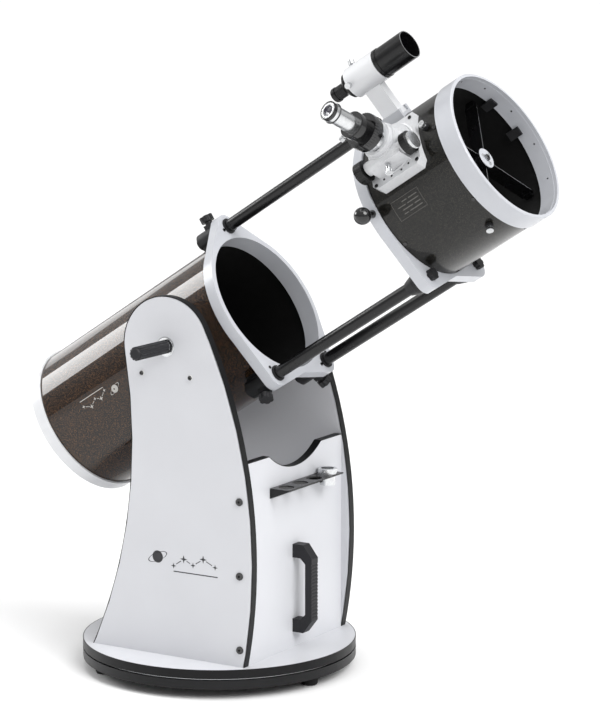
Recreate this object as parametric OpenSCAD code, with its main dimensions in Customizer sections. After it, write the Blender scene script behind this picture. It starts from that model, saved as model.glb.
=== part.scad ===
// Dobsonian reflector telescope: a collapsible three-rod tube on a turntable rocker.
// Millimetres, +Z up, the floor is Z = 0, the azimuth axis is the Z axis and the tube
// opens towards +X.  The near side of the rocker is -Y.  Tube pieces are drawn in the
// tube's own frame: X along the tube from the altitude axis, Z up, then tilted.

/* [Base] */
// diameter of both turntable boards
base_diameter = 550; // [440:5:680]
// thickness of both turntable boards
base_thickness = 18; // [12:1:24]
// height of a foot
foot_height = 21; // [12:1:40]
// diameter of a foot
foot_diameter = 32; // [20:1:50]
// gap between the boards that the glides fill
azimuth_gap = 3; // [2.4:0.2:6]
// diameter of the azimuth bolt
azimuth_bolt_diameter = 10; // [8:1:16]

/* [Rocker] */
// outside width over both side boards
rocker_width = 385; // [370:1:460]
// thickness of side boards and front board
side_thickness = 16; // [12:1:22]
// height of the altitude axis above the floor
axis_height = 673; // [560:1:780]
// altitude axis in front of the azimuth axis
axis_forward = 5; // [-10:1:14]
// radius of the rounded top of a side board
side_top_radius = 98.7; // [85:0.1:125]
// radius of the bulging front edge of a side board
front_edge_radius = 1014; // [800:1:1600]
// radius of the hollow rear edge of a side board
rear_edge_radius = 976; // [850:1:1400]
// how far the foot of a side board reaches forward
foot_forward = 181; // [178:1:205]
// how far the foot of a side board reaches back
foot_back = 175; // [150:1:200]
// top of the front board below the altitude axis
front_board_drop = 214; // [200:1:260]
// middle of the front board in front of the azimuth axis
front_board_forward = 172; // [172:1:178]
// depth of the dip in the top of the front board
front_dip_depth = 33; // [15:1:60]
// width of the dip in the top of the front board
front_dip_width = 193; // [120:1:240]
// thickness of the plastic edge band
band_thickness = 1.2; // [0.8:0.1:2.5]
// sideways distance of a bearing post from the altitude axis
post_offset = 56; // [50:1:64]
// radius of a bearing post
post_radius = 15; // [12:0.5:18]

/* [Rack and handle] */
// inside diameter of an eyepiece hole in the rack
rack_hole_diameter = 32; // [28:0.5:40]
// spacing of the eyepiece holes
rack_hole_spacing = 52; // [46:1:58]
// height of the rack shelf as a share of the front board
rack_share = 0.842; // [0.82:0.002:0.86]
// depth of the rack shelf
rack_depth = 43; // [40:1:60]
// length of the carry handle
grip_length = 178; // [140:1:220]
// foot of the carry handle above the base board
grip_lift = 31; // [20:1:40]
// how far the carry handle stands off the board
grip_reach = 44; // [36:1:60]

/* [Tube] */
// tilt of the tube above level
tube_elevation = 32.6; // [5:0.1:80]
// outside radius of both tubes
tube_radius = 150.4; // [146:0.1:151.5]
// wall of both tubes
tube_wall = 1.2; // [0.8:0.1:2]
// lower end of the tube behind the altitude axis
tube_back = 387; // [372:1:420]
// front face of the lower ring in front of the altitude axis
lower_ring_front = 132; // [120:1:150]
// front face of the upper ring in front of the altitude axis
upper_ring_front = 528; // [480:1:560]
// length of the upper tube with its rings
cage_length = 219.5; // [200:0.5:260]
// thickness of a three-lobed ring
lobed_ring_thickness = 22; // [16:1:30]
// rim left around the tube by a three-lobed ring
ring_rim = 4.6; // [3:0.1:6]
// free opening through the rings
ring_opening_radius = 143.8; // [138:0.1:145]
// length of the white front ring
top_ring_length = 40; // [24:1:60]
// length of the white rear ring
bottom_ring_length = 24; // [16:1:40]

/* [Truss] */
// diameter of a truss rod
rod_diameter = 24.4; // [18:0.2:28]
// radius of the circle the rods stand on
rod_circle = 170; // [168:0.5:176]
// angle of the two lower rods away from straight down
rod_spread = 32; // [26:1:40]
// radius of a rounded lobe tip
lobe_radius = 26; // [22:0.5:30]
// how far the truss folds
truss_travel = 330; // [250:5:340]
// length of a clamp block
clamp_length = 46; // [36:1:60]

/* [Altitude bearings] */
// radius of an altitude bearing
bearing_radius = 64; // [60:1:70]
// diameter of the altitude handle screw
handle_screw_diameter = 8; // [6:0.5:12]
// diameter of the altitude handle grip
handle_diameter = 27; // [22:0.5:36]
// length of the altitude handle grip
handle_length = 104; // [70:1:120]

/* [Optics] */
// diameter of the main mirror
mirror_diameter = 254; // [230:1:256]
// thickness of the main mirror
mirror_thickness = 32; // [24:1:38]
// focal length of the main mirror
focal_length = 1200; // [1000:10:1600]
// short axis of the flat mirror
flat_diameter = 63; // [50:1:70]
// thickness of a spider vane
vane_thickness = 0.9; // [0.6:0.1:1.6]
// length of a spider vane along the tube
vane_depth = 30; // [20:1:40]

/* [Focuser] */
// angle of the focuser around the tube
focuser_angle = 148; // [140:0.5:154]
// focuser axis in front of the upper ring
focuser_forward = 80; // [74:1:84]
// outside diameter of the drawtube
drawtube_diameter = 54; // [50:0.5:58]
// travel of the drawtube
drawtube_travel = 38; // [25:1:42]
// diameter of the eyepiece barrel
eyepiece_diameter = 31.7; // [31.7:0.1:31.8]
// diameter of a focus knob
focus_knob_diameter = 43; // [34:1:48]
// diameter of the focus shaft
focus_shaft_diameter = 6; // [5:0.5:7]
// width over both focus knobs
focus_knob_span = 132; // [128:1:140]

/* [Finder] */
// angle of the finder around the tube
finder_angle = 106; // [98:0.5:110]
// finder axis above the tube axis
finder_reach = 254; // [240:1:275]
// front end of the finder in front of the upper ring
finder_forward = 179.5; // [160:0.5:200]
// outside diameter of the dew shield
dew_diameter = 57; // [52:0.5:60]
// length of the finder
finder_length = 190; // [180:1:200]

/* [Fits] */
// radial clearance of a sliding rod or a turning shaft
slide_clearance = 0.07; // [0.02:0.01:0.1]
// gap between curved faces that lie together
seat_gap = 0.3; // [0.2:0.05:0.4]
// glue gap between a side board and its long edge band
band_gap = 1; // [0.9:0.1:1.2]

/* [Hidden] */
$fn = 72;
base_top = foot_height + 2 * base_thickness + azimuth_gap;
ground_top = foot_height + base_thickness;
front_board_top = axis_height - front_board_drop;
front_board_height = front_board_top - base_top;
rack_height = base_top + rack_share * front_board_height;
grip_height = base_top + grip_lift + grip_length / 2;
rocker_in = rocker_width / 2 - side_thickness;
board_gap = band_thickness + seat_gap;
hub_c = [axis_forward, axis_height];
front_back_x = front_board_forward - side_thickness / 2;
front_face_x = front_board_forward + side_thickness / 2;
tube_in = tube_radius - tube_wall;
rod_r = rod_diameter / 2;
bush_r = rod_r + 2.4;
ring_r = tube_radius + ring_rim;
sleeve_out = tube_in - seat_gap;
lower_ring_back = lower_ring_front - lobed_ring_thickness;
upper_ring_back = upper_ring_front - lobed_ring_thickness;
cage_front = upper_ring_front + cage_length;
focus_x = upper_ring_front + focuser_forward;
rod_angles = [90, 270 - rod_spread, 270 + rod_spread];
clamp_front = lower_ring_back - 2;
clamp_back = clamp_front - clamp_length;
knob_x = clamp_front - 12;
cell_back = -tube_back + 13;
mirror_back = cell_back + 28.3;
mirror_r = mirror_diameter / 2;
bolt_r = azimuth_bolt_diameter / 2;
post_drop = sqrt(pow(bearing_radius + post_radius + seat_gap, 2) - pow(post_offset, 2));
screw_r = handle_screw_diameter / 2;
draw_r = drawtube_diameter / 2;
eye_r = eyepiece_diameter / 2;
vane_angles = [55, 145, 235, 325];
hub_front = cage_front - 49.5;
finder_front = upper_ring_front + finder_forward;
finder_back = finder_front - finder_length;
sleeve_front = finder_front - 71.5;
sleeve_back = sleeve_front - 70;
foot_mid = sleeve_front - 39;
shaft_r = focus_shaft_diameter / 2;
flange_top = 160;
knob_y = -draw_r - shaft_r - 1;
knob_z = flange_top + focus_knob_diameter / 2 + 0.5;
tower_top = knob_z + 16;
collar_top = tower_top + 9;
draw_top = collar_top + 16;
grip_top = draw_top + 22;
cup_top = grip_top + 27;
cup_screw_z = cup_top - 6.5;
rack_y = 8;
rack_holes = [for (i = [-1.5:1:1.5]) rack_y + i * rack_hole_spacing];
far = 3000;

// ---------- helpers ----------

// the tube's own frame: X along the tube, Z up across it
module tube_frame() {
    translate([axis_forward, 0, axis_height])
        rotate([0, -tube_elevation, 0])
            children();
}

// turn so that local Z points outward at angle a around the tube
module around(a) {
    rotate([a - 90, 0, 0])
        children();
}

module x_cyl(r, x0, x1) {
    translate([x0, 0, 0])
        rotate([0, 90, 0])
            cylinder(r = r, h = x1 - x0);
}

module x_cone(r0, r1, x0, x1) {
    translate([x0, 0, 0])
        rotate([0, 90, 0])
            cylinder(r1 = r0, r2 = r1, h = x1 - x0);
}

module x_pipe(ro, ri, x0, x1) {
    difference() {
        x_cyl(ro, x0, x1);
        x_cyl(ri, x0 - 1, x1 + 1);
    }
}

module y_cyl(r, y0, y1) {
    translate([0, y1, 0])
        rotate([90, 0, 0])
            cylinder(r = r, h = y1 - y0);
}

module z_cyl(r, z0, z1) {
    translate([0, 0, z0])
        cylinder(r = r, h = z1 - z0);
}

module z_pipe(ro, ri, z0, z1) {
    difference() {
        z_cyl(ro, z0, z1);
        z_cyl(ri, z0 - 1, z1 + 1);
    }
}

// a box between two corners
module span(a, b) {
    translate(a)
        cube(b - a);
}

module at_rods() {
    for (a = rod_angles)
        around(a)
            translate([0, 0, rod_circle])
                children();
}

// round knob along Z with finger flutes
module fluted(r, h, n, flute) {
    difference() {
        cylinder(r = r, h = h);
        for (i = [0 : n - 1])
            rotate([0, 0, (i + 0.5) * 360 / n])
                translate([r + flute * 0.55, 0, -1])
                    cylinder(r = flute, h = h + 2, $fn = 24);
    }
}

function norm2(v) = v / norm(v);

// the crossing of two circles, on the left of the line from c to p
function crossing(c, rc, p, rp, side) =
    let (d = norm(p - c), u = norm2(p - c))
    let (a = (d * d + rc * rc - rp * rp) / (2 * d), h = sqrt(rc * rc - a * a))
    c + a * u + side * h * [-u[1], u[0]];

front_c = crossing(hub_c, front_edge_radius - side_top_radius,
    [foot_forward, base_top], front_edge_radius, -1);
rear_c = crossing(hub_c, rear_edge_radius + side_top_radius,
    [-foot_back, base_top], rear_edge_radius, -1);

// ---------- rocker ----------

// side board outline between y0 and y1; grow moves every edge outward
module side_shape(y0, y1, grow) {
    up = hub_c + 300 * norm2(hub_c - front_c);
    back = hub_c + 300 * norm2(rear_c - hub_c);
    translate([hub_c[0], 0, hub_c[1]])
        y_cyl(side_top_radius + grow, y0, y1);
    difference() {
        intersection() {
            translate([0, y1, 0])
                rotate([90, 0, 0])
                    linear_extrude(y1 - y0)
                        polygon([[-320, base_top], [320, base_top], up, hub_c, back]);
            translate([front_c[0], 0, front_c[1]])
                y_cyl(front_edge_radius + grow, y0 - 1, y1 + 1);
        }
        translate([rear_c[0], 0, rear_c[1]])
            y_cyl(rear_edge_radius - grow, y0 - 2, y1 + 2);
    }
}

module bolt_places() {
    for (share = [0.085, 0.451, 0.817])
        translate([front_board_forward, 0, base_top + share * front_board_height])
            children();
}

module post_places() {
    for (s = [-1, 1])
        translate([axis_forward + s * post_offset, 0, axis_height - post_drop])
            children();
}

// one side board on the -Y side
module side_board() {
    out = -rocker_width / 2;
    color("#e4e5e8")
        difference() {
            side_shape(out, out + side_thickness, -band_thickness - band_gap);
            translate([axis_forward, 0, axis_height])
                y_cyl(screw_r + 2, out - 1, out + side_thickness + 1);
            bolt_places()
                y_cyl(3.6, out - 1, out + side_thickness + 1);
            post_places()
                y_cyl(2.6, out - 1, out + side_thickness + 1);
        }
}

module side_board_near() {
    side_board();
}

module side_board_far() {
    mirror([0, 1, 0])
        side_board();
}

module front_shape(drop, x0, x1) {
    dip_r = (pow(front_dip_width / 2, 2) + pow(front_dip_depth, 2)) / (2 * front_dip_depth);
    difference() {
        span([x0, -rocker_in, base_top], [x1, rocker_in, front_board_top - drop]);
        translate([0, 0, front_board_top - front_dip_depth + dip_r])
            x_cyl(dip_r + drop, x0 - 1, x1 + 1);
    }
}

module front_board() {
    color("#eceef2")
        difference() {
            front_shape(board_gap, front_back_x, front_face_x);
            for (s = [-1, 1])
                bolt_places()
                    y_cyl(2.9, min(s * rocker_in, s * (rocker_in - 42)),
                        max(s * rocker_in, s * (rocker_in - 42)));
            for (z = [-1, 1])
                translate([0, 0, grip_height + z * (grip_length / 2 - 15)])
                    x_cyl(2.6, front_back_x - 1, front_face_x + 1);
        }
}

module edge_bands() {
    color("#232325") {
        for (m = [0, 1])
            mirror([0, m, 0])
                difference() {
                    side_shape(-rocker_width / 2, -rocker_in, 0);
                    side_shape(-rocker_width / 2 - 1, -rocker_in + 1, -band_thickness);
                }
        difference() {
            front_shape(0, front_back_x, front_face_x);
            front_shape(band_thickness, front_back_x - 1, front_face_x + 1);
        }
        z_pipe(base_diameter / 2, base_diameter / 2 - band_thickness,
            base_top - base_thickness, base_top);
    }
}

module board_bolts() {
    out = rocker_width / 2;
    color("#1c1c1e")
        for (m = [0, 1])
            mirror([0, m, 0])
                bolt_places() {
                    y_cyl(7, -out - 2.2, -out);
                    y_cyl(3.5, -out - 0.5, -rocker_in);
                    y_cyl(2.8, -rocker_in, -rocker_in + 38);
                    y_cyl(5, -out - 3, -out - 2.2);
                }
}

module bearing_posts() {
    color("#f0f0ee")
        for (m = [0, 1])
            mirror([0, m, 0])
                post_places() {
                    y_cyl(post_radius, -rocker_in, -tube_radius - 2.6);
                    y_cyl(2.5, -rocker_width / 2, -rocker_in + 4);
                    y_cyl(5, -rocker_width / 2 - 1.6, -rocker_width / 2);
                }
}

// ---------- turntable ----------

module ground_board() {
    color("#2b2b2d")
        difference() {
            z_cyl(base_diameter / 2, foot_height, ground_top);
            z_cyl(bolt_r + 0.06, foot_height - 1, ground_top + 1);
            z_cyl(azimuth_bolt_diameter, foot_height - 1, foot_height + 7);
            for (a = [110 : 120 : 350])
                rotate([0, 0, a])
                    translate([base_diameter / 2 - 33, 0, 0])
                        z_cyl(2.2, foot_height - 1, foot_height + 12);
        }
}

module feet() {
    color("#1d1d1f")
        for (a = [110 : 120 : 350])
            rotate([0, 0, a])
                translate([base_diameter / 2 - 33, 0, 0]) {
                    cylinder(r1 = foot_diameter / 2 - 2, r2 = foot_diameter / 2, h = 4);
                    z_cyl(foot_diameter / 2, 4, foot_height);
                    z_cyl(2.1, foot_height - 0.5, foot_height + 11);
                }
}

module glide_pads() {
    color("#f4f4f2")
        for (a = [50 : 120 : 290])
            rotate([0, 0, a])
                translate([base_diameter / 2 - 28, 0, 0])
                    span([-14, -22, ground_top], [14, 22, ground_top + azimuth_gap - 1.5]);
}

module glide_ring() {
    r = base_diameter / 2 - 3;
    color("#c9ccd0")
        z_pipe(r, r - 50, ground_top + azimuth_gap - 1.4, ground_top + azimuth_gap);
}

module base_board() {
    color("#eceef0")
        difference() {
            z_cyl(base_diameter / 2 - board_gap, base_top - base_thickness, base_top);
            z_cyl(bolt_r + 0.06, base_top - base_thickness - 1, base_top + 1);
        }
}

module azimuth_bolt() {
    color("#b9bcc0") {
        z_cyl(bolt_r, foot_height + 1, base_top + 26);
        translate([0, 0, foot_height + 0.6])
            cylinder(r = azimuth_bolt_diameter * 0.92, h = 6, $fn = 6);
        z_pipe(14, bolt_r, base_top, base_top + 2);
    }
}

module azimuth_knob() {
    color("#1d1d1f")
        difference() {
            union() {
                translate([0, 0, base_top + 8])
                    fluted(24, 14, 6, 7);
                z_cyl(12, base_top + 2.3, base_top + 8);
            }
            z_cyl(bolt_r + slide_clearance, base_top + 1, base_top + 30);
        }
}

// ---------- rack and carry handle ----------

module eyepiece_rack() {
    x1 = front_face_x + rack_depth;
    y0 = rack_y - 2 * rack_hole_spacing;
    y1 = rack_y + 2 * rack_hole_spacing;
    color("#1b1b1d")
        difference() {
            union() {
                span([front_face_x, y0, rack_height - 2.5], [x1, y1, rack_height]);
                span([front_face_x, y0, rack_height - 20], [front_face_x + 2.5, y1, rack_height]);
                for (y = [y0, y1 - 2.5])
                    translate([0, y + 2.5, 0])
                        rotate([90, 0, 0])
                            linear_extrude(2.5)
                                polygon([[front_face_x, rack_height - 20],
                                    [x1, rack_height - 2.6], [x1, rack_height],
                                    [front_face_x, rack_height]]);
            }
            for (y = rack_holes)
                translate([front_face_x + rack_depth / 2, y, 0])
                    z_cyl(rack_hole_diameter / 2, rack_height - 4, rack_height + 1);
            for (y = [rack_holes[0], rack_holes[3]])
                translate([0, y, rack_height - 12])
                    x_cyl(2.2, front_face_x - 1, front_face_x + 4);
        }
}

module rack_adapter() {
    r = rack_hole_diameter / 2;
    color("#c6c8cb")
        translate([front_face_x + rack_depth / 2, rack_holes[3], 0])
            difference() {
                union() {
                    z_cyl(r - 0.5, rack_height - 22, rack_height);
                    z_cyl(r + 3.4, rack_height, rack_height + 11);
                }
                z_cyl(r - 3, rack_height - 23, rack_height + 12);
            }
}

module carry_handle() {
    h = grip_length / 2;
    d = grip_reach;
    color("#232325")
        translate([front_face_x, 0, grip_height]) {
            difference() {
                translate([0, 12, 0])
                    rotate([90, 0, 0])
                        linear_extrude(24)
                            polygon([[0, -h], [d - 20, -h], [d, -h + 26], [d, h - 26],
                                [d - 20, h], [0, h]]);
                translate([0, 13, 0])
                    rotate([90, 0, 0])
                        linear_extrude(26)
                            polygon([[-1, -h + 27], [d - 26, -h + 27],
                                [d - 15, -h + 38], [d - 15, h - 38],
                                [d - 26, h - 27], [-1, h - 27]]);
                for (z = [-h + 34 : 7 : h - 34])
                    translate([d + 1.2, 0, z])
                        y_cyl(2.2, -13, 13, $fn = 24);
                for (z = [-1, 1])
                    translate([0, 0, z * (h - 15)])
                        x_cyl(2.5, -1, 16);
            }
        }
}

// ---------- altitude bearings ----------

module altitude_bearings() {
    color("#f0f0ee")
        tube_frame()
            for (m = [0, 1])
                mirror([0, m, 0])
                    difference() {
                        union() {
                            y_cyl(bearing_radius, -rocker_in + 2.5, -tube_radius - 4);
                            y_cyl(46, -tube_radius - 4, -tube_radius + 9);
                            y_cyl(screw_r, -rocker_width / 2 - 42, -rocker_in + 3);
                        }
                        x_cyl(tube_radius + seat_gap, -80, 80);
                        for (a = [45 : 90 : 315])
                            rotate([0, a, 0])
                                translate([36, 0, 0])
                                    y_cyl(3.4, -rocker_in - 1, -rocker_in + 6);
                    }
}

module altitude_handle() {
    out = -rocker_width / 2;
    color("#303033")
        tube_frame()
            difference() {
                union() {
                    translate([0, out - 6, 0])
                        rotate([90, 0, 0]) {
                            fluted(handle_diameter / 2, handle_length - 8, 12, 2.6);
                            translate([0, 0, handle_length - 8])
                                cylinder(r1 = handle_diameter / 2 - 1.5,
                                    r2 = handle_diameter / 2 - 4, h = 3);
                        }
                    y_cyl(handle_diameter / 2 - 2, out - 6, out - 3);
                    y_cyl(handle_diameter / 2 + 4, out - 3, out - 0.6);
                }
                y_cyl(screw_r + slide_clearance, out - 44, out + 1);
            }
}

module altitude_handle_near() {
    altitude_handle();
}

module altitude_handle_far() {
    mirror([0, 1, 0])
        altitude_handle();
}

// ---------- lower tube and mirror cell ----------

module lower_tube() {
    color("#4a3c34")
        tube_frame()
            difference() {
                x_pipe(tube_radius, tube_in, -tube_back + 3, lower_ring_back + 11);
                for (m = [0, 1])
                    mirror([0, m, 0])
                        y_cyl(screw_r + 2, -tube_radius - 2, -tube_radius + 12);
            }
}

module bottom_ring() {
    color("#e9eaec")
        tube_frame()
            difference() {
                x_cyl(tube_radius + 4, -tube_back, -tube_back + bottom_ring_length);
                x_cyl(tube_radius + seat_gap, -tube_back + 3, -tube_back + bottom_ring_length + 1);
                x_cyl(tube_in - 4, -tube_back - 1, -tube_back + 4);
            }
}

module cell_places() {
    for (a = [90 : 120 : 330])
        around(a)
            translate([0, 0, 84])
                children();
}

module mirror_cell() {
    x0 = cell_back;
    color("#3a3a3d")
        tube_frame()
            difference() {
                union() {
                    x_pipe(sleeve_out, sleeve_out - 12, x0, x0 + 18);
                    x_cyl(34, x0, x0 + 10);
                    for (a = [90 : 120 : 330])
                        around(a)
                            span([x0, -13, 20], [x0 + 10, 13, sleeve_out - 6]);
                    cell_places()
                        x_cyl(8, x0 + 9, x0 + 21);
                    x_cyl(112, x0 + 20, x0 + 28);
                    for (a = [90 : 120 : 330])
                        around(a)
                            span([x0 + 20, -12, 100], [x0 + 28, 12, mirror_r + 6]);
                }
                x_cyl(16, x0 - 1, x0 + 30);
                for (a = [30 : 60 : 330])
                    around(a)
                        translate([0, 0, 66])
                            x_cyl(13, x0 + 19, x0 + 29);
                cell_places()
                    x_cyl(3.2, x0 - 1, x0 + 22);
                for (a = [90 : 120 : 330])
                    around(a)
                        translate([0, 0, 116])
                            x_cyl(2.5, x0 - 1, x0 + 11);
            }
}

module primary_mirror() {
    sag = mirror_r * mirror_r / (4 * focal_length);
    color("#cfd8de")
        tube_frame()
            difference() {
                x_cyl(mirror_r, mirror_back, mirror_back + mirror_thickness);
                translate([mirror_back + mirror_thickness - sag + 2 * focal_length, 0, 0])
                    rotate([0, 90, 0])
                        sphere(r = 2 * focal_length, $fn = 200);
            }
}

module mirror_clips() {
    x1 = mirror_back + mirror_thickness;
    color("#1d1d1f")
        tube_frame()
            for (a = [90 : 120 : 330])
                around(a) {
                    span([cell_back + 28, -9, mirror_r + 0.5], [x1 + 3.5, 9, mirror_r + 4.5]);
                    span([x1 + 0.5, -9, mirror_r - 6], [x1 + 3.5, 9, mirror_r + 0.6]);
                }
}

module collimation_knob(a) {
    color("#c9ccd0")
        tube_frame()
            around(a)
                translate([cell_back - 0.4, 0, 84])
                    rotate([0, -90, 0]) {
                        fluted(12, 12, 10, 2.4);
                        translate([0, 0, -20])
                            cylinder(r = 3.2 - slide_clearance, h = 21);
                    }
}

module collimation_knob_a() {
    collimation_knob(90);
}

module collimation_knob_b() {
    collimation_knob(210);
}

module collimation_knob_c() {
    collimation_knob(330);
}

module cell_lock_screws() {
    color("#1d1d1f")
        tube_frame()
            for (a = [90 : 120 : 330])
                around(a)
                    translate([0, 0, 116]) {
                        x_cyl(7, cell_back - 8, cell_back);
                        x_cyl(2.4, cell_back, cell_back + 20);
                    }
}

// ---------- three-lobed rings ----------

// straight web from the ring to a lobe, just inside the tangent to both
module lobe(x0, x1) {
    r0 = ring_r - 0.1;
    r1 = lobe_radius - 0.1;
    r2 = ring_r - 30;
    a = acos((r0 - r1) / rod_circle);
    rotate([0, 90, 0])
        translate([0, 0, x0])
            linear_extrude(x1 - x0)
                polygon([[-r0 * cos(a), r0 * sin(a)],
                    [-rod_circle - r1 * cos(a), r1 * sin(a)],
                    [-rod_circle - r1 * cos(a), -r1 * sin(a)],
                    [-r0 * cos(a), -r0 * sin(a)],
                    [-r2 * cos(a), -r2 * sin(a)],
                    [-r2 * cos(a), r2 * sin(a)]]);
    translate([0, 0, rod_circle])
        x_cyl(lobe_radius, x0, x1);
}

// the cast ring: a round plate drawn out into three lobes that carry the rods,
// with its round faces turned a hair proud of the lobes
module lobed_plate(x0, x1) {
    x_cyl(ring_r, x0 - 0.2, x1 + 0.2);
    for (a = rod_angles)
        around(a)
            lobe(x0, x1);
}

module lower_ring() {
    back = lower_ring_back;
    front = lower_ring_front;
    color("#e4e5e9")
        tube_frame()
            difference() {
                union() {
                    difference() {
                        lobed_plate(back, front);
                        x_cyl(tube_radius + seat_gap, back - 1, back + 11.5);
                    }
                    x_cyl(sleeve_out, back - 14, back + 12);
                }
                x_cyl(ring_opening_radius, back - 15, front + 1);
                at_rods()
                    x_cyl(bush_r + 0.02, back - 1, front + 1);
                at_rods()
                    for (s = [-1, 1])
                        translate([0, s * 20, -6])
                            x_cyl(1.9, front - 6, front + 1);
            }
}

module upper_ring() {
    back = upper_ring_back;
    front = upper_ring_front;
    color("#e4e5e9")
        tube_frame()
            difference() {
                union() {
                    difference() {
                        lobed_plate(back, front);
                        x_cyl(tube_radius + seat_gap, front - 11.5, front + 1);
                    }
                    x_cyl(sleeve_out, front - 12, front + 14);
                }
                x_cyl(ring_opening_radius, back - 1, front + 15);
                at_rods()
                    x_cyl(rod_r + 0.02, back - 1, back + 12);
                at_rods()
                    x_cyl(5.2, back, front + 1);
                around(180)
                    translate([(back + front) / 2, 0, 0])
                        z_cyl(4 + slide_clearance, tube_radius + 0.5, ring_r + 1);
            }
}

module rod_bushes() {
    color("#18181a")
        tube_frame()
            at_rods()
                difference() {
                    union() {
                        x_cyl(bush_r, lower_ring_back - 0.2, lower_ring_front + 1);
                        x_cyl(bush_r + 1.6, lower_ring_front + 0.3, lower_ring_front + 3.5);
                    }
                    x_cyl(rod_r + slide_clearance, lower_ring_back - 1, lower_ring_front + 5);
                }
}

module clamp_blocks() {
    color("#202022")
        tube_frame()
            for (a = rod_angles)
                around(a)
                    difference() {
                        union() {
                            translate([0, 0, rod_circle])
                                x_cyl(rod_r + 6.5, clamp_back, clamp_front);
                            span([clamp_back + 4, -15, tube_radius - 8],
                                [clamp_front, 15, rod_circle - 4]);
                            translate([0, 0, rod_circle])
                                span([knob_x - 10, -9, 0], [knob_x + 10, 9, rod_r + 13]);
                        }
                        x_cyl(tube_radius + seat_gap, clamp_back - 1, clamp_front + 1);
                        translate([0, 0, rod_circle])
                            x_cyl(rod_r + slide_clearance, clamp_back - 1, clamp_front + 1);
                        translate([knob_x, 0, rod_circle])
                            z_cyl(3 + slide_clearance, 4, rod_r + 14);
                        span([clamp_back - 1, -0.9, rod_circle + 6],
                            [knob_x - 12, 0.9, rod_circle + 30]);
                    }
}

module clamp_knob(a) {
    z = rod_circle + rod_r + 13.4;
    color("#161618")
        tube_frame()
            around(a)
                translate([knob_x, 0, 0]) {
                    z_cyl(3, rod_circle + rod_r + 0.4, z + 1);
                    z_cyl(7.5, z, z + 5);
                    translate([0, 0, z + 5])
                        fluted(14, 12, 6, 5);
                }
}

module clamp_knob_top() {
    clamp_knob(rod_angles[0]);
}

module clamp_knob_near() {
    clamp_knob(rod_angles[1]);
}

module clamp_knob_far() {
    clamp_knob(rod_angles[2]);
}

// ---------- sliding upper assembly ----------

module truss_rods() {
    color("#1a1a1c")
        tube_frame()
            at_rods()
                difference() {
                    x_cyl(rod_r, clamp_back - 6, upper_ring_back + 11.5);
                    x_cyl(rod_r - 1.6, clamp_back - 7, upper_ring_back - 40);
                    x_cyl(4.05, upper_ring_back - 41, upper_ring_back + 12);
                }
}

module rod_sleeves() {
    color("#161618")
        tube_frame()
            at_rods()
                difference() {
                    union() {
                        x_cone(rod_r + 1.8, rod_r + 8, upper_ring_back - 31,
                            upper_ring_back - 12);
                        x_cyl(rod_r + 8, upper_ring_back - 12, upper_ring_back - 0.3);
                    }
                    x_cyl(rod_r + 0.02, upper_ring_back - 32, upper_ring_back + 1);
                }
}

module rod_end_knobs() {
    color("#1b1b1d")
        tube_frame()
            at_rods() {
                x_cyl(4, upper_ring_back - 22, upper_ring_front + 2);
                translate([upper_ring_front, 0, 0])
                    rotate([0, 90, 0])
                        fluted(11.5, 11, 6, 4);
            }
}

module ball_knob() {
    color("#141416")
        tube_frame()
            around(180)
                translate([upper_ring_front - lobed_ring_thickness / 2, 0, 0]) {
                    z_cyl(4, tube_radius + 0.8, ring_r + 12);
                    translate([0, 0, ring_r + 0.3])
                        cylinder(r1 = 8, r2 = 6, h = 22);
                    translate([0, 0, ring_r + 36])
                        sphere(r = 16.5, $fn = 48);
                }
}

// the two rows of small screws that hold the rings to the upper tube
module screw_places() {
    for (a = [30 : 60 : 330])
        around(a)
            for (x = [upper_ring_front + 7, cage_front - top_ring_length - 5])
                translate([x, 0, 0])
                    children();
}

module upper_tube() {
    color("#2a2a28")
        tube_frame()
            difference() {
                x_pipe(tube_radius, tube_in, upper_ring_front - 11, cage_front - 8);
                around(focuser_angle)
                    translate([focus_x, 0, 0])
                        z_cyl(draw_r + 3, 100, 170);
                for (a = vane_angles)
                    around(a)
                        translate([hub_front - vane_depth / 2, 0, 0])
                            z_cyl(3.2, 130, 170);
                screw_places()
                    z_cyl(2, 130, 170);
            }
}

module top_ring() {
    x1 = cage_front;
    x0 = x1 - top_ring_length;
    color("#e4e5e9")
        tube_frame()
            difference() {
                union() {
                    difference() {
                        union() {
                            x_cyl(tube_radius + 2.4, x0, x1 - 1.5);
                            x_cone(tube_radius + 2.4, tube_radius + 0.9, x1 - 1.5, x1);
                        }
                        x_cyl(tube_radius + seat_gap, x0 - 1, x1 - 7.5);
                    }
                    x_cyl(sleeve_out, x0, x1 - 7);
                }
                x_cyl(tube_in - 3.2, x0 - 1, x1 + 1);
                x_cyl(tube_in - 2.7, x1 - 7.5, x1 + 1);
            }
}

module ring_pads() {
    x1 = cage_front;
    color("#151517")
        tube_frame()
            for (a = [14.5, 45])
                around(a)
                    intersection() {
                        span([x1 - 54, -9, tube_in - 8.5], [x1 - 27, 9, tube_in]);
                        x_cyl(tube_in - 3.3, x1 - 56, x1, $fn = 180);
                    }
}

// ---------- spider and flat mirror ----------

module spider() {
    x1 = hub_front;
    x0 = x1 - vane_depth;
    color("#1e1e20")
        tube_frame()
            difference() {
                union() {
                    x_cyl(21, x0 - 3, x1 - 1);
                    x_cyl(17, x1 - 1, x1 + 1.5);
                    for (a = vane_angles)
                        around(a) {
                            span([x0, -vane_thickness / 2, 18],
                                [x1 - 2, vane_thickness / 2, tube_in - 7]);
                            span([x0 + 5, -4, tube_in - 14], [x1 - 7, 4, tube_in - 1.4]);
                        }
                }
                x_cyl(4.2, x0 - 4, x1 + 2);
                for (a = [30 : 120 : 270])
                    around(a)
                        translate([0, 0, 12])
                            x_cyl(2.1, x0 - 4, x1 + 2);
                for (a = vane_angles)
                    around(a)
                        translate([x1 - vane_depth / 2, 0, 0])
                            z_cyl(2.5, tube_in - 15, tube_in);
            }
}

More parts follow.
